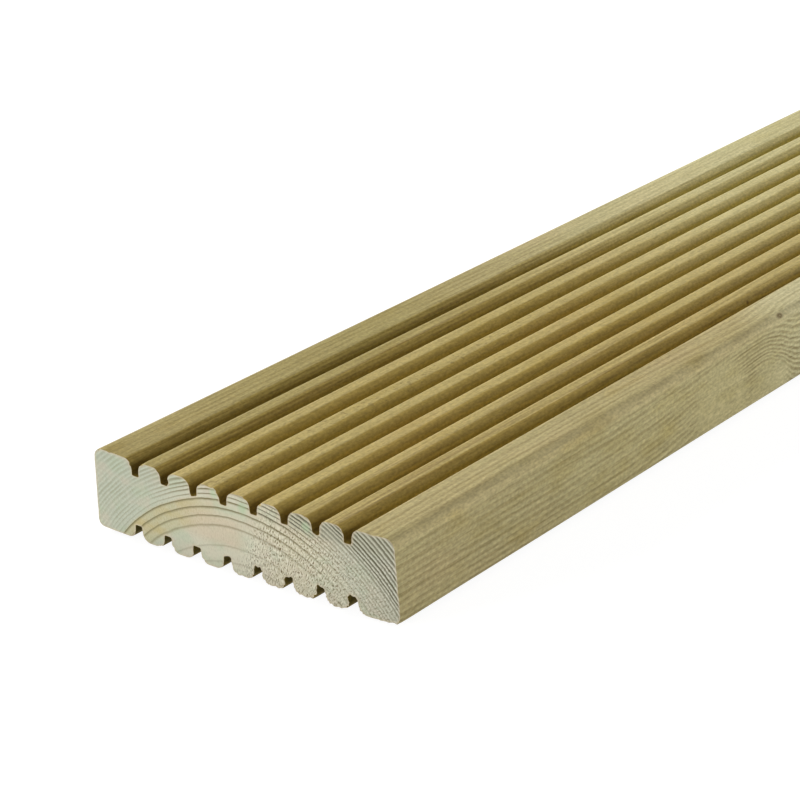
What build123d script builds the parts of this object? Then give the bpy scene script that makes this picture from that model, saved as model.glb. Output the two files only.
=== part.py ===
"""Reeded softwood decking board: one planed length, grooved on both faces, crosscut at both ends.

X runs across the board and Y along it. Z is up: the underside's reeds stand on Z = 0, and the
origin is in the middle of the underside.
"""
import os
from math import radians, tan

from build123d import *

# Finished board
BOARD_WIDTH = 120.0
BOARD_THICKNESS = 28.0
BOARD_LENGTH = 1800.0

# Long edges
TOP_ARRIS_RADIUS = 3.5
BOTTOM_ARRIS_RADIUS = 2.5

# Reeding, cut alike in the top and in the underside
PLAIN_MARGIN = 17.0  # least distance from a long edge to the middle of the first groove
GROOVE_PITCH = 12.15
GROOVE_DEPTH = 5.0
GROOVE_FLOOR_WIDTH = 2.5
GROOVE_WALL_LEAN = 5.0  # degrees by which each wall opens outwards
GROOVE_ROOT_RADIUS = 0.4
REED_SHOULDER_RADIUS = 3.2

groove_count = int((BOARD_WIDTH - 2 * PLAIN_MARGIN) // GROOVE_PITCH) + 1
groove_mouth_width = GROOVE_FLOOR_WIDTH + 2 * GROOVE_DEPTH * tan(radians(GROOVE_WALL_LEAN))

# One groove, drawn with its mouth on the X axis and its floor below
with BuildSketch() as groove:
    with BuildLine():
        Polyline(
            (-groove_mouth_width / 2, 0),
            (-GROOVE_FLOOR_WIDTH / 2, -GROOVE_DEPTH),
            (GROOVE_FLOOR_WIDTH / 2, -GROOVE_DEPTH),
            (groove_mouth_width / 2, 0),
            close=True,
        )
    make_face()
    fillet(groove.vertices().group_by(Axis.Y)[0], GROOVE_ROOT_RADIUS)

with BuildPart() as decking_board:
    with BuildSketch(Plane.XZ) as section:
        with Locations((0, BOARD_THICKNESS / 2)):
            Rectangle(BOARD_WIDTH, BOARD_THICKNESS)
        fillet(section.vertices().group_by(Axis.Y)[-1], TOP_ARRIS_RADIUS)
        fillet(section.vertices().group_by(Axis.Y)[0], BOTTOM_ARRIS_RADIUS)

        # The grooves of the underside are those of the top turned over
        for face_middle in (Location((0, BOARD_THICKNESS)), Location((0, 0), 180)):
            with Locations(face_middle):
                with GridLocations(GROOVE_PITCH, 0, groove_count, 1):
                    add(groove.sketch, mode=Mode.SUBTRACT)

        # Between the two ends of a face's flat, every corner is the mouth of a groove
        corners_by_height = section.vertices().group_by(Axis.Y)
        underside_mouths = corners_by_height[0].sort_by(Axis.X)[1:-1]
        top_mouths = corners_by_height[-1].sort_by(Axis.X)[1:-1]
        fillet(underside_mouths + top_mouths, REED_SHOULDER_RADIUS)
    extrude(amount=BOARD_LENGTH / 2, both=True)

decking_board.part.label = "decking_board"
os.makedirs("parts", exist_ok=True)
export_step(decking_board.part, "parts/decking_board.step")
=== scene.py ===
"""Dresses the reeded decking board: relief on its surfaces, solid softwood grain, floor, lights and camera.

Lengths are in metres. In the materials they are in millimetres, so that the sizes of rings and fibres
read as they are.
"""
import math

import bpy
import numpy as np
from mathutils import Matrix, Vector
from mathutils.geometry import delaunay_2d_cdt


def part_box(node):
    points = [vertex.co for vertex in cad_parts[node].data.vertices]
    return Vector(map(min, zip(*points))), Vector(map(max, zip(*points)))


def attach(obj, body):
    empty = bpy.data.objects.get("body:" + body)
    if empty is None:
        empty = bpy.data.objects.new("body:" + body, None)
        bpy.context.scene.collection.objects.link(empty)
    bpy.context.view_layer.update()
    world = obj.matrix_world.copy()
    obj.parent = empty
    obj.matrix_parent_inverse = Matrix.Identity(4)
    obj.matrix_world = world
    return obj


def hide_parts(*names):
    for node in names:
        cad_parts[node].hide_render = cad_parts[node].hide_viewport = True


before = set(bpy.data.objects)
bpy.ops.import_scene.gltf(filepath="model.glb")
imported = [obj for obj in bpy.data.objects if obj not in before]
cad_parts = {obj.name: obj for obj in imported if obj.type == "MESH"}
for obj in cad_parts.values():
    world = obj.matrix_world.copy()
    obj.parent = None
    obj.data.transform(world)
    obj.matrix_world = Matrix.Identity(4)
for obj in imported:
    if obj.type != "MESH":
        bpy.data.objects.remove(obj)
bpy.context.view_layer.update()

NODE = "decking_board"
MM = 0.001
SEED = 41

# The section of the board, as in the CAD model
low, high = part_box(NODE)
WIDTH = high[0] - low[0]
THICKNESS = high[2] - low[2]
NEAR_END = low[1]
FAR_END = high[1]
TOP_ARRIS_RADIUS = 3.5 * MM
BOTTOM_ARRIS_RADIUS = 2.5 * MM
GROOVES = 8
GROOVE_PITCH = 12.15 * MM
GROOVE_DEPTH = 5.0 * MM
GROOVE_FLOOR_WIDTH = 2.5 * MM
GROOVE_WALL_LEAN = math.radians(5.0)
GROOVE_ROOT_RADIUS = 0.4 * MM
REED_SHOULDER_RADIUS = 3.2 * MM

# Drying has cupped the board a little: its long edges have risen, within the CAD model's thickness
CUP = 1.25 * MM

# Spacing of the mesh's points round the section and along the board
ARC_STEP = 0.5 * MM
FLAT_STEP = 1.1 * MM
ROWS_NEAR_AN_END = [v * MM for v in (0, 0.25, 0.7, 1.5, 3, 5.5, 9, 14)]
DETAILED_LENGTH = 0.5
DETAILED_ROW_STEP = 0.016
PLAIN_ROW_STEP = 0.034
CAP_STEP = 0.62 * MM
CAP_JITTER = 0.3
RIM_CLEARANCE = 0.45
SEAM_TOLERANCE = 1e-9

# Space between the parts of the layout for baking, as a share of its width
UNWRAP_GAP = 0.008

# Relief, always cut into the board, never raised from it
SURFACE_RELIEF = 0.12 * MM
SAW_RELIEF = 0.16 * MM
CUT_EDGE_WEAR = 0.05 * MM
CUT_EDGE_WEAR_REACH = 0.35 * MM
CHIP_DEPTH = 0.55 * MM
CHIP_REACH = 0.8 * MM
CHIP_THRESHOLD = 0.72
SPLINTER_DEPTH = 0.5 * MM
SPLINTER_REACH = 0.6 * MM
SPLINTERED_HEIGHT = 6 * MM

# The grooves' darkening is partly preservative staining and partly painted shade, starting higher on the
# shoulders turned from the key lamp
# How far down a left-facing shoulder the darkening starts, as a share of the groove's depth
STAIN_AND_SHADE_START = 0.12

# Growth rings, in millimetres: the pith at the near end, how far it wanders along the board once it has
# left that end, how unround the rings are, and the radius of each band of latewood
PITH_X = 0.0
PITH_Z = -42.0
PITH_SWAY_X = 26.0
PITH_SWAY_Z = 16.0
PITH_SWAY_LENGTH = 620.0
PITH_HELD_LENGTH = 500.0
RING_SWELL = 1.3
RING_UNEVENNESS = 0.5
RING_RADII = (
    36.0, 41.2, 46.3, 51.2, 57.8, 60.6, 63.3, 65.8, 67.2, 68.7, 69.8, 71.0, 72.5, 73.9, 75.3,
    76.4, 77.5, 78.7, 80.1, 81.5, 82.7, 84.1, 85.8, 87.2, 88.6, 90.2, 92.0, 94.0,
)

# Knots, in millimetres and degrees: place along the board from the near end, angle round the pith from
# straight up, radius of the knot itself, how far the rings bulge over it, how far that reaches along the
# board either way, and the radius within which the latewood fades out
KNOT_SIZES = ("Along", "Angle", "Radius", "Bulge", "Reach Before", "Reach After", "Plain")
KNOTS = (
    (193, 53, 0.0, 8.5, 44, 14, 0.0),
    (196, 53, 0.0, 2.2, 14, 10, 9.0),
    (168, 50, 0.0, 0.0, 5, 5, 11.0),
    (205, 39.8, 1.5, 0.6, 5, 5, 0.0),
    (214, 30.5, 1.1, 0.4, 7, 6, 0.0),
    (203, -10, 0.0, 0.6, 9, 7, 0.0),
    (560, -22, 4.0, 6.0, 30, 18, 6.0),
    (815, 24, 2.5, 5.0, 22, 20, 4.0),
    (1080, -44, 5.0, 6.5, 34, 22, 7.0),
    (1330, 8, 3.5, 5.0, 20, 30, 5.0),
    (1610, 46, 4.5, 6.0, 30, 24, 6.0),
)

# How soft a knot's edge is and how far its outline wobbles, in millimetres, and its width over its length
KNOT_EDGE = 1.5
KNOT_WOBBLE = 5.0
KNOT_SHAPE = 0.75

# Brown streaks along the top: x and half width in millimetres, and strength
STREAKS = ((-42.0, 5.0, 0.7), (-31.5, 4.0, 0.9), (24.5, 2.5, 0.8), (36.5, 3.2, 1.0))

# Green spots on the near end: x, z and radius in millimetres
GREEN_SPOTS = ((1.6, 22.8, 2.6), (-9.5, 24.8, 2.6), (26.0, 23.3, 2.2))

# The middle of the reed that has pits, in millimetres
PITTED_REED_X = -11.0

# How the two kinds of surface shine, and the height of their finest relief in metres
PLANED_SPECULAR = 0.07
SAWN_SPECULAR = 0.12
SAWN_ROUGHNESS = 0.85
PLANED_BUMP = 0.00018
SAWN_BUMP = 0.0003

rng = np.random.default_rng(SEED)


# The board's mesh


def arc(centre, radius, start, end):
    """Points on an arc from start to end, in degrees, with neither end left out."""
    count = max(2, math.ceil(abs(math.radians(end - start)) * radius / ARC_STEP))
    angles = np.radians(np.linspace(start, end, count + 1))
    return [(centre[0] + radius * math.cos(a), centre[1] + radius * math.sin(a)) for a in angles]


def groove():
    """One groove of a face that lies on z = 0, from its left shoulder down and up to its right one."""
    lean = GROOVE_WALL_LEAN
    mouth = GROOVE_FLOOR_WIDTH / 2 + GROOVE_DEPTH * math.tan(lean)
    corner = math.tan(math.pi / 4 + lean / 2)
    shoulder = (mouth + REED_SHOULDER_RADIUS / corner, -REED_SHOULDER_RADIUS)
    root = (GROOVE_FLOOR_WIDTH / 2 - GROOVE_ROOT_RADIUS / corner, -GROOVE_DEPTH + GROOVE_ROOT_RADIUS)
    turn = 90 - math.degrees(lean)
    right = arc(root, GROOVE_ROOT_RADIUS, -90, -90 + turn)
    right += arc(shoulder, REED_SHOULDER_RADIUS, 90 + turn, 90)
    left = [(-x, z) for x, z in reversed(right)]
    return left + right


def section():
    """The board's outline, clockwise from the top left arris and evenly divided.

    Each point is x, z, and how far it is into the darkening of a groove, from 0 at the face to 1 at the
    groove's floor; the darkening is partly preservative staining and partly painted shade. On the shoulders
    that face left, towards the key lamp, it starts lower down.
    """
    half = WIDTH / 2
    centres = [(i - (GROOVES - 1) / 2) * GROOVE_PITCH for i in range(GROOVES)]
    top, bottom = TOP_ARRIS_RADIUS, BOTTOM_ARRIS_RADIUS

    def plain(points):
        return [(x, z, 0.0) for x, z in points]

    # Painted shade with staining: the darkening reaches higher on the walls turned from the key lamp
    def stain_and_painted_shade(x, z):
        depth = -z / GROOVE_DEPTH
        return depth if x < 0 else max(0.0, depth - STAIN_AND_SHADE_START) / (1 - STAIN_AND_SHADE_START)

    points = plain(arc((-half + top, THICKNESS - top), top, 180, 90))
    for c in centres:
        points += [(c + x, THICKNESS + z, stain_and_painted_shade(x, z)) for x, z in groove()]
    points += plain(arc((half - top, THICKNESS - top), top, 90, 0))
    points += plain(arc((half - bottom, bottom), bottom, 0, -90))
    for c in reversed(centres):
        points += [(c - x, -z, stain_and_painted_shade(-x, z)) for x, z in groove()]
    points += plain(arc((-half + bottom, bottom), bottom, -90, -180))
    divided = []
    for a, b in zip(points, points[1:] + points[:1]):
        a, b = np.array(a), np.array(b)
        pieces = max(1, math.ceil(np.linalg.norm(b[:2] - a[:2]) / FLAT_STEP))
        divided += [a + (b - a) * k / pieces for k in range(pieces)]
    return np.array(divided)


def cupped(x, z):
    """Where a point of the flat section goes when the board cups."""
    z = z * (THICKNESS - CUP) / THICKNESS
    slope = 2 * CUP * x / (WIDTH / 2) ** 2
    return x - z * slope, z + slope * x / 2


def rows():
    """Distances from the near end of the rings of points along the board."""
    length = FAR_END - NEAR_END
    start = ROWS_NEAR_AN_END
    detailed = np.arange(start[-1] + DETAILED_ROW_STEP, DETAILED_LENGTH, DETAILED_ROW_STEP)
    plain = np.arange(DETAILED_LENGTH, length - start[-1], PLAIN_ROW_STEP)
    return np.concatenate([start, detailed, plain, [length - v for v in reversed(start)]])


def smooth_noise(shape, cells, seed):
    """Smooth random values from 0 to 1 on a grid, with a given number of cells each way."""
    source = np.random.default_rng(seed).random((cells[0] + 3, cells[1] + 3))

    def taps(n, count):
        at = np.linspace(0, count, n)
        i = np.minimum(at.astype(int), count - 1)
        f = at - i
        return i, f * f * (3 - 2 * f)

    iy, fy = taps(shape[0], cells[0])
    ix, fx = taps(shape[1], cells[1])
    top = source[iy][:, ix] * (1 - fx) + source[iy][:, ix + 1] * fx
    bottom = source[iy + 1][:, ix] * (1 - fx) + source[iy + 1][:, ix + 1] * fx
    return top * (1 - fy[:, None]) + bottom * fy[:, None]


def cap(rim, sign):
    """The sawn end inside a rim of (x, z) points: its points, rim first, its triangles, and each
    point's distance from the rim."""
    xs = np.arange(rim[:, 0].min(), rim[:, 0].max(), CAP_STEP)
    zs = np.arange(rim[:, 1].min(), rim[:, 1].max(), CAP_STEP)
    grid = np.stack(np.meshgrid(xs, zs), -1).reshape(-1, 2)
    grid += (rng.random(grid.shape) - 0.5) * CAP_JITTER * CAP_STEP
    crossings = np.zeros(len(grid), int)
    nearest = np.full(len(grid), 1.0)
    for p, q in zip(rim, np.roll(rim, -1, 0)):
        spans = (p[1] > grid[:, 1]) != (q[1] > grid[:, 1])
        if q[1] != p[1]:
            cut = p[0] + (grid[:, 1] - p[1]) / (q[1] - p[1]) * (q[0] - p[0])
            crossings += spans & (grid[:, 0] < cut)
        d = q - p
        t = np.clip(((grid - p) @ d) / (d @ d), 0, 1)
        nearest = np.minimum(nearest, np.linalg.norm(grid - p - t[:, None] * d, axis=1))
    inside = (crossings % 2 == 1) & (nearest > RIM_CLEARANCE * CAP_STEP)
    grid, nearest = grid[inside], nearest[inside]
    flat = [Vector(v) for v in np.r_[rim, grid].tolist()]
    edges = [(n, (n + 1) % len(rim)) for n in range(len(rim))]
    points, _, triangles, _, _, _ = delaunay_2d_cdt(flat, edges, [], 1, SEAM_TOLERANCE)
    x, z = np.array(points).T
    x_mm, z_mm = x / MM, z / MM

    # The saw leaves close wavy marks, and the fibres are torn more on the right, most of all low down
    saw = 0.5 + 0.5 * np.sin(x_mm * 2.1 + 0.9 * np.sin(z_mm * 0.21) + z_mm * 0.35)
    fuzz = rng.random(len(points))
    rough_side = 1 / (1 + np.exp(-(x_mm - 2 - 0.6 * (z_mm - 14)) / 6))
    depth = SAW_RELIEF * (0.25 * saw + (0.15 + 0.6 * rough_side) * fuzz)
    depth[: len(rim)] = 0
    wound = [t if sign > 0 else t[::-1] for t in triangles]
    return np.c_[x, sign * depth, z], wound, np.r_[np.zeros(len(rim)), nearest]


def board_mesh():
    """The dressed board: its skin in rings of points along the grain, and a sawn end at either end."""
    outline = section()
    along = rows()
    count = len(outline)
    x, z = cupped(outline[:, 0], outline[:, 1])
    bent = np.c_[x, z]
    tangent = np.roll(bent, -1, 0) - np.roll(bent, 1, 0)
    tangent /= np.linalg.norm(tangent, axis=1)[:, None]
    inward = np.c_[tangent[:, 1], -tangent[:, 0]]

    shape = (len(along), count)
    broad = smooth_noise(shape, (32, 160), SEED + 1)
    narrow = smooth_noise(shape, (64, 420), SEED + 2)
    depth = SURFACE_RELIEF * (0.7 * broad + 0.3 * narrow)

    # The sawn edges are worn and chipped, and splintered along the bottom towards the right
    for end in (along, along[-1] - along):
        noise = smooth_noise((1, count), (1, 230), SEED + 3 + int(end[0] > 0))
        chips = np.clip(noise - CHIP_THRESHOLD, 0, 1) / (1 - CHIP_THRESHOLD)
        splintered = (bent[:, 1] < SPLINTERED_HEIGHT) / (1 + np.exp(-(bent[:, 0] / MM + 5) / 4))
        splinters = rng.random(count) ** 3 * splintered
        depth += CUT_EDGE_WEAR * np.exp(-end / CUT_EDGE_WEAR_REACH)[:, None]
        depth += CHIP_DEPTH * chips * np.exp(-end / CHIP_REACH)[:, None]
        depth += SPLINTER_DEPTH * splinters * np.exp(-end / SPLINTER_REACH)[:, None]

    places = bent[None] + inward[None] * depth[..., None]
    verts = np.empty((len(along), count, 3))
    verts[..., 0] = places[..., 0]
    verts[..., 1] = NEAR_END + along[:, None]
    verts[..., 2] = places[..., 1]
    verts = verts.reshape(-1, 3)
    in_groove = np.tile(outline[:, 2], len(along))
    i, j = np.meshgrid(np.arange(len(along) - 1), np.arange(count), indexing="ij")
    k = (j + 1) % count
    quads = np.stack([i * count + j, i * count + k, (i + 1) * count + k, (i + 1) * count + j], -1)
    faces = quads.reshape(-1, 4).tolist()
    skin = len(faces)

    from_rim = np.zeros(len(verts))
    for end, sign in ((0, 1), (len(along) - 1, -1)):
        cap_verts, cap_faces, distance = cap(places[end], sign)
        base = len(verts)
        inner = cap_verts[count:]
        inner[:, 1] += NEAR_END + along[end]
        verts = np.r_[verts, inner]
        from_rim = np.r_[from_rim, distance[count:]]
        in_groove = np.r_[in_groove, np.zeros(len(inner))]
        for f in cap_faces:
            faces.append([end * count + n if n < count else base + n - count for n in f])

    mesh = bpy.data.meshes.new(NODE + "_surface")
    mesh.from_pydata(verts.tolist(), [], faces)
    mesh.polygons.foreach_set("use_smooth", [n < skin for n in range(len(faces))])
    mesh.polygons.foreach_set("material_index", [int(n >= skin) for n in range(len(faces))])
    for name, values in (("groove", in_groove), ("rim", from_rim / MM)):
        mesh.attributes.new(name, "FLOAT", "POINT").data.foreach_set("value", values.tolist())
    around = np.linalg.norm(np.roll(bent, -1, 0) - bent, axis=1)
    around = np.r_[0, np.cumsum(around)] / around.sum()
    unwrap(mesh, around[j], around[j + 1], along[i] / along[-1], along[i + 1] / along[-1], skin)
    mesh.validate()
    mesh.update()
    return mesh


def unwrap(mesh, left, right, start, end, skin):
    """Lays out the surface for baking: the two sawn ends large, side by side, and above them the skin,
    fine round the section and coarser along the grain.

    The skin's faces come first in the mesh, as many as the number given, and left, right, start and end
    say where each of them lies round the section and along the board, from 0 to 1.
    """
    gap = UNWRAP_GAP
    scale = (0.5 - 1.5 * gap) / WIDTH
    floor = 2 * gap + scale * THICKNESS
    u = gap + (1 - 2 * gap) * np.stack([left, right, right, left], -1).reshape(-1)
    v = floor + (1 - gap - floor) * np.stack([start, start, end, end], -1).reshape(-1)
    corners = np.empty(len(mesh.loops), int)
    mesh.loops.foreach_get("vertex_index", corners)
    ends = corners[4 * skin:]
    places = np.empty(3 * len(mesh.vertices))
    mesh.vertices.foreach_get("co", places)
    x, y, z = places.reshape(-1, 3)[ends].T
    far = y > (NEAR_END + FAR_END) / 2
    u = np.r_[u, np.where(far, 0.5 + gap / 2 - (x - WIDTH / 2) * scale, gap + (x + WIDTH / 2) * scale)]
    v = np.r_[v, gap + z * scale]
    layer = mesh.uv_layers.new(name="OFBake")
    layer.uv.foreach_set("vector", np.c_[u, v].reshape(-1).tolist())


# Materials


def srgb(red, green, blue):
    """A colour given as it shows on a screen, 0 to 255, as Blender's linear colour."""
    channels = [c / 255 for c in (red, green, blue)]
    return [c / 12.92 if c <= 0.04045 else ((c + 0.055) / 1.055) ** 2.4 for c in channels] + [1.0]


# The planed faces
OLIVE_TAN = srgb(174, 160, 113)
WARM_TAN = srgb(178, 156, 113)
GREEN_TAN = srgb(168, 160, 113)
REED_TAN = srgb(176, 155, 91)
NEAR_SIDE_TAN = srgb(174, 165, 124)
SIDE_TAN = srgb(184, 174, 128)
MARGIN_BROWN = srgb(156, 142, 86)
# Painted highlight on the right top arris
ARRIS_HIGHLIGHT = srgb(188, 174, 128)
# Painted sheen on a stretch of the top's right margin
MARGIN_SHEEN = srgb(202, 196, 156)
# Painted sheen on the faces some way from the near end
SHEEN_TAN = srgb(204, 198, 150)
PLANED_LATEWOOD = srgb(112, 94, 50)
STREAK_BROWN = srgb(128, 106, 62)
PIT_BROWN = srgb(120, 104, 62)
KNOT_BROWN = srgb(96, 72, 40)

# What multiplies the wood's colour on a reed's shoulders and in a channel (staining and painted shade), and
# at its mouth and underneath (painted shade)
SHOULDER_STAIN_AND_SHADE = srgb(238, 230, 196)
CHANNEL_STAIN_AND_SHADE = srgb(255, 250, 205)
MOUTH_SHADE = srgb(180, 172, 160)
UNDERSIDE_SHADE = srgb(225, 238, 240)

# The sawn ends
LEFT_WOOD = srgb(185, 190, 171)
MIDDLE_WOOD = srgb(204, 201, 179)
TORN_WOOD = srgb(202, 195, 168)
RIGHT_WOOD = srgb(190, 190, 170)
CORNER_WOOD = srgb(206, 206, 190)
CROWN_WOOD = srgb(178, 178, 154)
PINK_MOTTLE = srgb(200, 186, 166)
GREEN_MOTTLE = srgb(176, 190, 162)
PINK_PATCH = srgb(204, 188, 162)
RESIN = srgb(190, 177, 128)
LIGHT_FIBRES = srgb(226, 222, 202)
DARK_FIBRES = srgb(112, 100, 72)
SAWN_LATEWOOD = srgb(112, 104, 66)
HARD_LATEWOOD = srgb(94, 90, 68)
CROWN_LATEWOOD = srgb(70, 68, 50)
COPPER_GREEN = srgb(172, 198, 158)
RIM_TAN = srgb(204, 190, 162)


class Nodes:
    """Short calls for building a node tree. Inputs may be numbers, colours or other nodes' sockets."""

    def __init__(self, tree):
        self.tree = tree

    def new(self, kind, inputs=None, output=0, **settings):
        node = self.tree.nodes.new(kind)
        for name, value in settings.items():
            setattr(node, name, value)
        for name, value in (inputs or {}).items():
            self.feed(node.inputs[name], value)
        return node if output is None else node.outputs[output]

    def feed(self, socket, value):
        if isinstance(value, bpy.types.NodeSocket):
            self.tree.links.new(value, socket)
        else:
            socket.default_value = value

    def math(self, operation, a, b=0.0, c=0.0, clamp=False):
        return self.new("ShaderNodeMath", {0: a, 1: b, 2: c}, operation=operation, use_clamp=clamp)

    def add(self, first, *others):
        for value in others:
            first = self.math("ADD", first, value)
        return first

    def less(self, a, b):
        return self.math("SUBTRACT", a, b)

    def times(self, first, *others):
        for value in others:
            first = self.math("MULTIPLY", first, value)
        return first

    def scaled(self, value, factor, offset):
        return self.math("MULTIPLY_ADD", value, factor, offset)

    def vector(self, x, y, z):
        return self.new("ShaderNodeCombineXYZ", {0: x, 1: y, 2: z})

    def split(self, vector):
        return self.new("ShaderNodeSeparateXYZ", {0: vector}, output=None).outputs

    def ease(self, value, start, end, low=0.0, high=1.0):
        """Goes smoothly from low to high as the value goes from start to end."""
        inputs = {"Value": value, "From Min": start, "From Max": end, "To Min": low, "To Max": high}
        return self.new("ShaderNodeMapRange", inputs, interpolation_type="SMOOTHSTEP")

    def window(self, value, start, full, fade, end):
        """1 from full to fade, going smoothly to 0 before and after."""
        return self.times(self.ease(value, start, full), self.ease(value, end, fade))

    def noise(self, vector, detail=2.0, roughness=0.5, output="Fac"):
        inputs = {"Vector": vector, "Scale": 1.0, "Detail": detail, "Roughness": roughness}
        return self.new("ShaderNodeTexNoise", inputs, output=output)

    def lumps(self, place, x, y, z, detail=2.0, output="Fac"):
        """Noise in lumps of about the given size."""
        cells = self.new("ShaderNodeVectorMath", {0: place, 1: (1 / x, 1 / y, 1 / z)}, operation="MULTIPLY")
        return self.noise(cells, detail=detail, output=output)

    def mix(self, factor, a, b, blend="MIX"):
        node = self.new("ShaderNodeMix", output=None, data_type="RGBA", blend_type=blend)
        for socket, value in zip((node.inputs[0], node.inputs[6], node.inputs[7]), (factor, a, b)):
            self.feed(socket, value)
        return node.outputs[2]


def group(name, inputs, outputs):
    """An empty node group with the named number sockets: its Nodes, input sockets and output node."""
    tree = bpy.data.node_groups.new(name, "ShaderNodeTree")
    for socket in inputs:
        tree.interface.new_socket(socket, in_out="INPUT", socket_type="NodeSocketFloat")
    for socket in outputs:
        tree.interface.new_socket(socket, in_out="OUTPUT", socket_type="NodeSocketFloat")
    nodes = Nodes(tree)
    return nodes, tree.nodes.new("NodeGroupInput").outputs, tree.nodes.new("NodeGroupOutput")


def knot_group():
    """The bulge of the rings over one knot, and the knot itself, at a point given from the pith."""
    n, given, result = group(
        "knot",
        ["X", "Y", "Z", *KNOT_SIZES],
        ["Bulge", "Core", "Plain"],
    )
    angle = n.math("RADIANS", given["Angle"])
    sine, cosine = n.math("SINE", angle), n.math("COSINE", angle)
    outward = n.add(n.times(given["X"], sine), n.times(given["Z"], cosine))
    across = n.less(n.times(given["X"], cosine), n.times(given["Z"], sine))
    along = n.less(given["Y"], given["Along"])

    # The bulge falls off along the board and, sooner, across it
    before = n.math("DIVIDE", n.math("MINIMUM", along, 0.0), given["Reach Before"])
    after = n.math("DIVIDE", n.math("MAXIMUM", along, 0.0), given["Reach After"])
    side = n.math("DIVIDE", across, n.scaled(given["Reach Before"], 0.35, 5.0))
    spread = n.add(n.times(before, before), n.times(after, after), n.times(side, side))
    fall = n.math("EXPONENT", n.times(spread, -1.0))

    # The same line run back through the pith has no knot on it
    real = n.ease(outward, 0.0, 10.0)
    n.feed(result.inputs["Bulge"], n.times(fall, given["Bulge"], real))

    # The knot itself is longer along the grain than across it
    flat = n.times(along, KNOT_SHAPE)
    distance = n.math("SQRT", n.add(n.times(flat, flat), n.times(across, across)))
    core = n.math("DIVIDE", n.less(given["Radius"], distance), KNOT_EDGE, clamp=True)
    n.feed(result.inputs["Core"], n.times(core, real))
    n.feed(result.inputs["Plain"], n.ease(n.less(given["Plain"], distance), -3.0, 2.0))
    return n.tree


def ring_curve(n, radius):
    """The number of rings inside a radius."""
    node = n.new("ShaderNodeFloatCurve", output=None)
    start, end = RING_RADII[0], RING_RADII[-1]
    curve = node.mapping.curves[0]
    last = len(RING_RADII) - 1
    points = [((r - start) / (end - start), i / last) for i, r in enumerate(RING_RADII)]
    curve.points[0].location = points[0]
    curve.points[1].location = points[-1]
    for place in points[1:-1]:
        curve.points.new(*place)
    for point in curve.points:
        point.handle_type = "VECTOR"
    node.mapping.update()
    n.feed(node.inputs["Value"], n.math("DIVIDE", n.less(radius, start), end - start))
    return n.times(node.outputs[0], last)


def figure_group():
    """The wood's figure at any point of the board: latewood, ring, place round the pith, fibres, knots."""
    n, _, result = group(
        "softwood_figure",
        [],
        ["Late", "Ring", "Radius", "Turn", "Fibre", "Fine Fibre", "Fleck", "Knot"],
    )
    place = n.new("ShaderNodeTexCoord", output="Object")
    place = n.new("ShaderNodeVectorMath", {0: place, 3: 1 / MM}, operation="SCALE")
    x, y, z = n.split(place)
    from_end = n.less(y, NEAR_END / MM)

    # The pith wanders as the stem grew, from its place at the near end
    stem = n.noise(n.vector(0.0, n.times(from_end, 1 / PITH_SWAY_LENGTH), 3.0), detail=1.0, output="Color")
    sway_x, _, sway_z = n.split(stem)
    let_go = n.ease(from_end, 0.0, PITH_HELD_LENGTH)
    dx = n.less(n.less(x, PITH_X), n.times(n.less(sway_x, 0.5), let_go, PITH_SWAY_X))
    dz = n.less(n.less(z, PITH_Z), n.times(n.less(sway_z, 0.5), let_go, PITH_SWAY_Z))
    radius = n.math("SQRT", n.add(n.times(dx, dx), n.times(dz, dz)))
    turn = n.math("DEGREES", n.math("ARCTAN2", dx, dz))

    # Rings aren't round: broad swells, and a finer unevenness
    swell = n.lumps(place, 26, 150, 26, detail=1.0)
    uneven = n.lumps(place, 5, 45, 5)
    radius = n.add(radius, n.times(n.less(swell, 0.5), RING_SWELL))
    radius = n.add(radius, n.times(n.less(uneven, 0.5), RING_UNEVENNESS))

    # Rings bulge over the knots, whose outlines wobble
    knots = 0.0
    plain = 0.0
    knot_tree = knot_group()
    wobble = n.lumps(place, 7, 9, 7)
    wobbled = n.scaled(n.less(wobble, 0.5), KNOT_WOBBLE, from_end)
    for sizes in KNOTS:
        knot = n.new("ShaderNodeGroup", output=None, node_tree=knot_tree)
        for name, value in {"X": dx, "Y": wobbled, "Z": dz, **dict(zip(KNOT_SIZES, sizes))}.items():
            n.feed(knot.inputs[name], value)
        radius = n.less(radius, knot.outputs["Bulge"])
        knots = n.math("MAXIMUM", knots, knot.outputs["Core"])
        plain = n.math("MAXIMUM", plain, knot.outputs["Plain"])

    # Latewood takes up the last part of each ring: thin bands near the pith, and wide ones further out
    rings = ring_curve(n, radius)
    phase = n.math("FRACT", rings)
    start = n.add(n.ease(radius, 57.0, 61.0, 0.78, 0.56), n.ease(radius, 65.0, 72.0, 0.0, -0.34))
    late = n.ease(phase, start, n.ease(radius, 66.0, 74.0, 0.93, 0.6))
    late = n.times(late, n.ease(phase, 0.9, 1.0, 1.0, 0.0))
    late = n.times(late, n.scaled(plain, -0.85, 1.0))
    ring = n.new("ShaderNodeTexWhiteNoise", {"W": n.math("FLOOR", rings)}, noise_dimensions="1D")
    n.feed(result.inputs["Late"], late)
    n.feed(result.inputs["Ring"], ring)
    n.feed(result.inputs["Radius"], radius)
    n.feed(result.inputs["Turn"], turn)
    n.feed(result.inputs["Fibre"], n.lumps(place, 1.0, 26, 1.0))
    n.feed(result.inputs["Fine Fibre"], n.lumps(place, 0.5, 4, 0.5, detail=1.0))
    n.feed(result.inputs["Fleck"], n.lumps(place, 0.75, 1.3, 0.75))
    n.feed(result.inputs["Knot"], knots)
    return n.tree


def new_material(name, figure):
    """A material with its Nodes, shader, figure, and place in millimetres."""
    material = bpy.data.materials.new(name)
    material.use_nodes = True
    n = Nodes(material.node_tree)
    shader = material.node_tree.nodes["Principled BSDF"]
    wood = n.new("ShaderNodeGroup", output=None, node_tree=figure).outputs
    place = n.new("ShaderNodeTexCoord", output="Object")
    place = n.new("ShaderNodeVectorMath", {0: place, 3: 1 / MM}, operation="SCALE")
    return material, n, shader, wood, place


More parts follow.
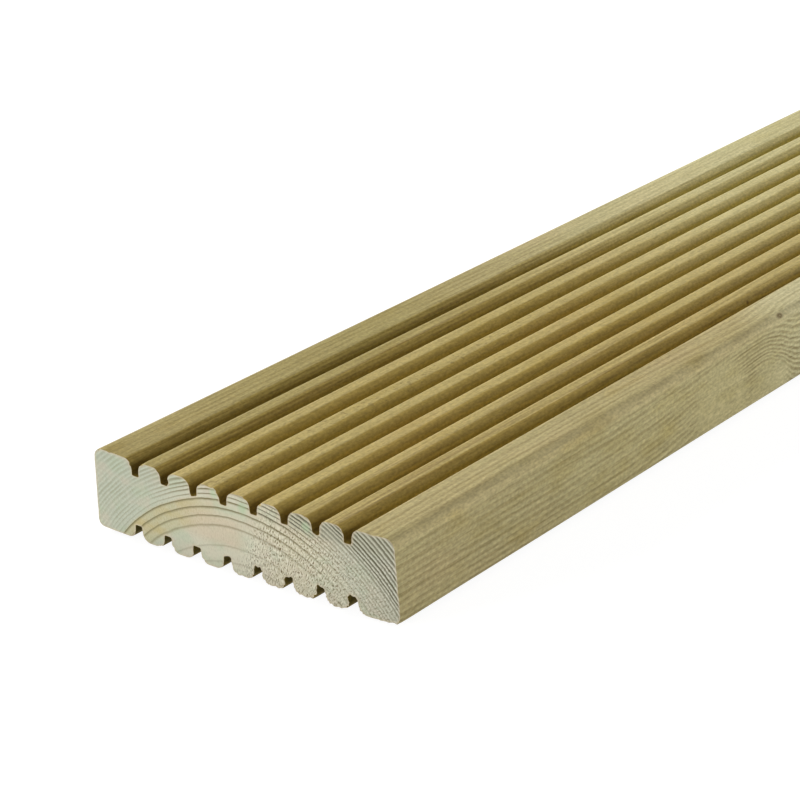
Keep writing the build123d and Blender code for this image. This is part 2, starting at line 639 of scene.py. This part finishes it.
def planed_material(figure):
    """The planed faces: olive-tan from the preservative, browner in the grooves where it has settled and
    where shade is painted, with painted sheen and highlight in places.
    """
    material, n, shader, wood, place = new_material("planed_softwood", figure)
    x, y, z = n.split(place)
    along = n.less(y, NEAR_END / MM)
    top_margin = n.ease(x, 44.0, 47.0)
    side = n.ease(x, 57.0, 59.5)
    arris = n.times(n.ease(x, 55.5, 58.0), n.ease(z, 23.5, 25.5))

    # Earlywood differs from patch to patch, and from one part of the board to the next; the paler stretches
    # along the board and the lighter right arris are painted sheen and highlight
    patches = n.lumps(place, 30, 70, 30, output="Color")
    warm, green, _ = n.split(patches)
    early = n.mix(n.ease(warm, 0.42, 0.62, 0.0, 0.5), OLIVE_TAN, WARM_TAN)
    early = n.mix(n.ease(green, 0.45, 0.62, 0.0, 0.5), early, GREEN_TAN)
    reeded = n.ease(n.math("ABSOLUTE", x), 40.0, 47.0, 0.7, 0.0)
    early = n.mix(reeded, early, REED_TAN)
    early = n.mix(n.times(side, 0.5), early, NEAR_SIDE_TAN)
    early = n.mix(n.times(side, n.ease(along, 50.0, 140.0, 0.0, 0.8)), early, SIDE_TAN)
    browner = n.times(n.ease(x, -24.0, -40.0, 0.0, 0.8), n.ease(along, 240.0, 110.0))
    early = n.mix(browner, early, MARGIN_BROWN)
    # Painted highlight: the right top arris is lighter
    early = n.mix(n.times(arris, 0.8), early, ARRIS_HIGHLIGHT)
    # Painted sheen: the right margin of the top is paler from about 0.18 m to 0.42 m from the near end
    margin_sheen = n.times(n.window(along, 180.0, 225.0, 300.0, 420.0), 0.6)
    early = n.mix(n.times(margin_sheen, top_margin), early, MARGIN_SHEEN)
    # Painted sheen: the faces grow paler from about 0.15 m to 1.1 m from the near end, most towards the
    # left
    sheen = n.times(n.window(along, 150.0, 330.0, 700.0, 1100.0), n.ease(x, -59.6, -57.5, 0.2, 1.0))
    early = n.mix(n.times(sheen, n.ease(x, -50.0, 50.0, 0.65, 0.1)), early, SHEEN_TAN)

    # Latewood is plainest where the face cuts the rings steeply, and in the arch on the right edge
    steep = n.ease(n.math("ABSOLUTE", wood["Turn"]), 15.0, 30.0, 0.2, 1.0)
    broken = n.ease(wood["Fibre"], 0.3, 0.65, 0.55, 1.1)
    arch = n.window(along, 165.0, 185.0, 210.0, 240.0)
    fainter = n.times(n.window(along, 180.0, 330.0, 700.0, 1100.0), n.ease(x, 45.0, 35.0))
    depth = n.times(wood["Late"], steep, n.scaled(wood["Ring"], 0.1, 0.27))
    depth = n.times(depth, n.scaled(arch, n.ease(x, 57.0, 59.5, 0.0, 0.6), 1.0))
    # Latewood is fainter far along the top, and on the arris under its painted highlight
    depth = n.times(depth, n.scaled(fainter, -0.5, 1.0), n.scaled(arris, -0.6, 1.0))
    colour = n.mix(n.times(depth, broken), early, PLANED_LATEWOOD)

    # Brown streaks on some of the reeds
    streaks = 0.0
    for centre, spread, strength in STREAKS:
        band = n.ease(n.math("ABSOLUTE", n.less(x, centre)), 0.5 * spread, spread, strength, 0.0)
        streaks = n.add(band, streaks)
    streaks = n.times(streaks, n.ease(z, 20.0, 22.0), n.ease(along, 210.0, 130.0))
    thread = n.lumps(place, 0.9, 90, 0.9)
    colour = n.mix(n.times(streaks, n.ease(thread, 0.42, 0.62, 0.0, 0.55)), colour, STREAK_BROWN)

    # Fibres and flecks
    streak = n.ease(wood["Fibre"], 0.3, 0.7, 1.05, 0.95)
    fine = n.ease(wood["Fine Fibre"], 0.3, 0.7, 1.06, 0.93)
    fleck = n.ease(wood["Fleck"], 0.3, 0.7, 1.13, 0.87)
    shade = n.times(streak, fine, fleck)
    colour = n.mix(1.0, colour, n.vector(shade, shade, shade), "MULTIPLY")

    # Darkening in the grooves, partly preservative staining and partly painted shade: its edge wavers on
    # the shoulders, and it is darkest in the channels
    groove = n.new("ShaderNodeAttribute", output="Fac", attribute_name="groove")
    wavy = n.scaled(n.less(n.lumps(place, 8, 22, 8), 0.5), 0.06, groove)
    shoulder_stain_and_shade = n.times(n.ease(wavy, -0.002, 0.03), n.ease(groove, 0.5, 0.15))
    shoulder_stain_and_shade = n.times(shoulder_stain_and_shade, n.ease(along, 170.0, 260.0, 1.0, 0.5))
    colour = n.mix(shoulder_stain_and_shade, colour, SHOULDER_STAIN_AND_SHADE, "MULTIPLY")
    colour = n.mix(n.ease(groove, 0.15, 0.5), colour, CHANNEL_STAIN_AND_SHADE, "MULTIPLY")
    # Painted shade: the grooves darken within 14 mm of the near end
    mouth = n.times(n.ease(groove, 0.2, 0.6), n.ease(along, 14.0, 0.0))
    colour = n.mix(mouth, colour, MOUTH_SHADE, "MULTIPLY")
    # Painted shade: the grooves underneath are darker and greyer
    underside_shade = n.times(n.ease(groove, 0.1, 0.6), n.ease(z, 12.0, 6.0))
    colour = n.mix(underside_shade, colour, UNDERSIDE_SHADE, "MULTIPLY")

    # A row of small pits, where the knives have plucked one reed
    pits = n.ease(n.lumps(place, 1.5, 2.0, 1.0, detail=1.0), 0.6, 0.7, 0.0, 0.5)
    row = n.ease(n.math("ABSOLUTE", n.less(x, PITTED_REED_X)), 4.5, 2.0)
    colour = n.mix(n.times(pits, row, n.ease(along, 210.0, 150.0)), colour, PIT_BROWN)

    # Knots are darkest in a ring just inside their edge
    knot = n.times(n.ease(wood["Knot"], 0.0, 0.7, 0.0, 0.8), n.ease(wood["Knot"], 0.7, 1.0, 1.0, 0.7))
    knot = n.times(knot, n.ease(wood["Fleck"], 0.3, 0.7, 1.15, 0.75))
    colour = n.mix(knot, colour, KNOT_BROWN)

    n.feed(shader.inputs["Base Color"], colour)
    shader.inputs["Specular IOR Level"].default_value = PLANED_SPECULAR
    n.feed(shader.inputs["Roughness"], n.ease(wood["Fibre"], 0.3, 0.7, 0.5, 0.68))
    height = n.add(n.times(wood["Fibre"], 0.4), n.times(wood["Fine Fibre"], 0.3))
    height = n.add(height, n.times(wood["Fleck"], 0.35))
    bump = n.new("ShaderNodeBump", {"Strength": 1.0, "Distance": PLANED_BUMP, "Height": height})
    n.feed(shader.inputs["Normal"], bump)
    return material


def sawn_material(figure):
    """The sawn ends: pale, with the rings cut across, and fibres torn up on one side."""
    material, n, shader, wood, place = new_material("sawn_softwood", figure)
    x, _, z = n.split(place)
    radius, turn = wood["Radius"], wood["Turn"]
    corner = n.times(n.ease(radius, 69.0, 79.0), n.ease(x, 18.0, 40.0))
    crowns = n.times(n.ease(z, 20.0, 22.5), n.ease(x, 14.0, 24.0))

    # Earlywood goes from green-grey on the left to grey-tan on the right, with resin in the inner rings
    mottle = n.lumps(place, 9, 1.0, 6, output="Color")
    pink, cool, _ = n.split(mottle)
    early = n.mix(n.ease(x, -45.0, -12.0), LEFT_WOOD, MIDDLE_WOOD)
    early = n.mix(n.ease(x, 0.0, 16.0), early, TORN_WOOD)
    early = n.mix(n.ease(x, 24.0, 44.0), early, RIGHT_WOOD)
    early = n.mix(n.ease(pink, 0.48, 0.66, 0.0, 0.4), early, PINK_MOTTLE)
    early = n.mix(n.ease(cool, 0.48, 0.66, 0.0, 0.4), early, GREEN_MOTTLE)
    resin = n.times(n.window(radius, 55.0, 58.5, 65.0, 66.5), n.ease(turn, -30.0, 2.0, 0.85, 0.1))
    early = n.mix(n.times(resin, n.ease(cool, 0.3, 0.62, 1.1, 0.6)), early, RESIN)
    pinkish = n.times(n.window(x, -26.0, -15.0, -3.0, 4.0), n.window(z, 6.5, 10.5, 16.0, 20.0), 0.65)
    early = n.mix(pinkish, early, PINK_PATCH)

    # Torn fibres stand up in flecks that run out from the pith
    warp = n.lumps(place, 2.5, 1.0, 2.5, detail=1.0, output="Color")
    warp_x, warp_y, _ = n.split(warp)
    across = n.scaled(turn, 2.4, n.times(warp_x, 2.4))
    outward = n.add(radius, n.times(warp_y, 2.4))
    fleck = n.noise(n.vector(across, 0.0, outward), roughness=0.65)
    torn = n.ease(n.less(x, n.times(n.less(z, 10.0), 0.5)), -1.0, 7.0, 0.15, 1.0)
    torn = n.times(torn, n.ease(z, 17.0, 22.0, 1.0, 0.6), n.ease(x, 26.0, 44.0, 1.0, 0.65))
    early = n.mix(n.times(n.ease(fleck, 0.48, 0.6, 0.0, 0.9), torn), early, LIGHT_FIBRES)
    early = n.mix(n.times(n.ease(fleck, 0.46, 0.36), torn), early, DARK_FIBRES)
    early = n.mix(n.times(corner, 0.35), early, CORNER_WOOD)
    early = n.mix(n.times(crowns, 0.5), early, CROWN_WOOD)

    # Latewood is faint on the left, and hard and dark towards the top right corner
    faintest = n.ease(pink, 0.35, 0.65, 0.34, 0.14)
    middle = n.ease(turn, -34.0, -10.0, faintest, 1.0)
    middle = n.math("MAXIMUM", middle, n.ease(radius, 68.0, 65.5, 0.0, 0.9))
    outer = n.times(n.ease(turn, 18.0, 34.0, 1.0, 0.45), middle, n.ease(radius, 55.0, 60.3, 0.35, 1.0))
    reeds = n.times(n.ease(z, 20.0, 23.0), n.ease(x, 2.0, 10.0))
    line = n.mix(n.math("MAXIMUM", corner, reeds), SAWN_LATEWOOD, HARD_LATEWOOD)
    line = n.mix(n.times(crowns, n.ease(x, 46.0, 38.0)), line, CROWN_LATEWOOD)
    strength = n.times(n.math("MAXIMUM", outer, corner), n.scaled(wood["Ring"], 0.25, 0.75))
    colour = n.mix(n.math("MULTIPLY", wood["Late"], strength, clamp=True), early, line)

    # Copper salts have come out in a few green spots
    for spot_x, spot_z, size in GREEN_SPOTS:
        ends = {0: place, 1: (spot_x, NEAR_END / MM, spot_z)}
        distance = n.new("ShaderNodeVectorMath", ends, output="Value", operation="DISTANCE")
        colour = n.mix(n.ease(distance, size, 0.2 * size, 0.0, 0.45), colour, COPPER_GREEN)
    rim = n.new("ShaderNodeAttribute", output="Fac", attribute_name="rim")
    colour = n.mix(n.ease(rim, 0.9, 0.0, 0.0, 0.6), colour, RIM_TAN)

    n.feed(shader.inputs["Base Color"], colour)
    shader.inputs["Roughness"].default_value = SAWN_ROUGHNESS
    shader.inputs["Specular IOR Level"].default_value = SAWN_SPECULAR
    grain = n.lumps(place, 0.35, 1.0, 0.35, detail=1.0)
    height = n.add(n.times(fleck, torn), n.times(grain, 0.5))
    bump = n.new("ShaderNodeBump", {"Strength": 1.0, "Distance": SAWN_BUMP, "Height": height})
    n.feed(shader.inputs["Normal"], bump)
    return material


board = bpy.data.objects.new(NODE + "_surface", board_mesh())
bpy.context.collection.objects.link(board)
figure = figure_group()
board.data.materials.append(planed_material(figure))
board.data.materials.append(sawn_material(figure))
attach(board, "root")
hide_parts(NODE)


# Floor, lights and camera

CAMERA_PLACE = Vector((0.47415, NEAR_END - 0.48682, 0.33993))
CAMERA_AZIMUTH = math.radians(40.135)
CAMERA_ELEVATION = math.radians(22.876)
CAMERA_ROLL = math.radians(-2.967)
CAMERA_LENS = 115.625
SENSOR_WIDTH = 36.0
NEAREST_SEEN = 0.01
FURTHEST_SEEN = 50.0

# Lamps: name, place, the point that they face, the width of the disk, and the power in watts
LAMPS = (
    ("key", (-3.3, 0.0, 2.0), (0.0, -0.6, 0.0), 1.4, 167),
    ("front", (-0.75, -2.5, 0.45), (0.0, -0.9, 0.02), 0.5, 18),
    ("side", (2.75, 0.0, 0.42), (0.06, -0.6, 0.02), 0.63, 33),
    ("back", (0.3, 3.0, 0.35), (0.0, 0.9, 0.02), 0.6, 22),
)
AMBIENT = 0.32

# The floor lights the board as white paper does, and is shown nearly white but for the board's shadow
FLOOR_REACH = 30.0
PAPER = 0.8
SHOWN_PAPER = 0.2
SHOWN_GLOW = 0.92


def add_camera():
    camera = bpy.data.objects.new("camera", bpy.data.cameras.new("camera"))
    bpy.context.collection.objects.link(camera)
    camera.data.lens = CAMERA_LENS
    camera.data.sensor_width = SENSOR_WIDTH
    camera.data.clip_start = NEAREST_SEEN
    camera.data.clip_end = FURTHEST_SEEN
    turn = Matrix.Rotation(CAMERA_AZIMUTH, 3, "Z") @ Matrix.Rotation(math.pi / 2 - CAMERA_ELEVATION, 3, "X")
    turn = turn @ Matrix.Rotation(CAMERA_ROLL, 3, "Z")
    camera.matrix_world = Matrix.Translation(CAMERA_PLACE) @ turn.to_4x4()
    bpy.context.scene.camera = camera


def seen_directly(n):
    """1 for what the camera sees, straight or in a reflection, and 0 for the light on other things."""
    rays = n.new("ShaderNodeLightPath", output=None).outputs
    seen = n.add(rays["Is Camera Ray"], rays["Is Glossy Ray"])
    return n.math("ADD", seen, rays["Is Transmission Ray"], clamp=True)


def add_floor():
    reach = FLOOR_REACH
    mesh = bpy.data.meshes.new("floor")
    corners = [(-reach, -reach, 0), (reach, -reach, 0), (reach, reach, 0), (-reach, reach, 0)]
    mesh.from_pydata(corners, [], [(0, 1, 2, 3)])
    floor = bpy.data.objects.new("floor", mesh)
    bpy.context.collection.objects.link(floor)
    material = bpy.data.materials.new("white_paper")
    material.use_nodes = True
    material.node_tree.nodes.clear()
    n = Nodes(material.node_tree)
    paper = n.new("ShaderNodeBsdfDiffuse", {"Color": (PAPER, PAPER, PAPER, 1)})
    shown = n.new("ShaderNodeBsdfDiffuse", {"Color": (SHOWN_PAPER, SHOWN_PAPER, SHOWN_PAPER, 1)})
    glow = n.new("ShaderNodeEmission", {"Color": (1, 1, 1, 1), "Strength": SHOWN_GLOW})
    bright = n.new("ShaderNodeAddShader", {0: shown, 1: glow})
    surface = n.new("ShaderNodeMixShader", {0: seen_directly(n), 1: paper, 2: bright})
    n.new("ShaderNodeOutputMaterial", {"Surface": surface}, output=None)
    mesh.materials.append(material)


def add_lamp(name, place, target, size, power):
    lamp = bpy.data.objects.new(name, bpy.data.lights.new(name, "AREA"))
    bpy.context.collection.objects.link(lamp)
    lamp.data.shape = "DISK"
    lamp.data.size = size
    lamp.data.energy = power
    lamp.location = place
    lamp.rotation_mode = "QUATERNION"
    lamp.rotation_quaternion = (Vector(target) - Vector(place)).to_track_quat("-Z", "Y")


def add_world():
    world = bpy.data.worlds.new("studio")
    bpy.context.scene.world = world
    world.use_nodes = True
    world.node_tree.nodes.clear()
    n = Nodes(world.node_tree)
    ambient = n.new("ShaderNodeBackground", {"Color": (1, 1, 1, 1), "Strength": AMBIENT})
    white = n.new("ShaderNodeBackground", {"Color": (1, 1, 1, 1), "Strength": 1.0})
    surface = n.new("ShaderNodeMixShader", {0: seen_directly(n), 1: ambient, 2: white})
    n.new("ShaderNodeOutputWorld", {"Surface": surface}, output=None)


add_camera()
add_floor()
add_world()
for lamp in LAMPS:
    add_lamp(*lamp)
bpy.context.scene.view_settings.view_transform = "Standard"
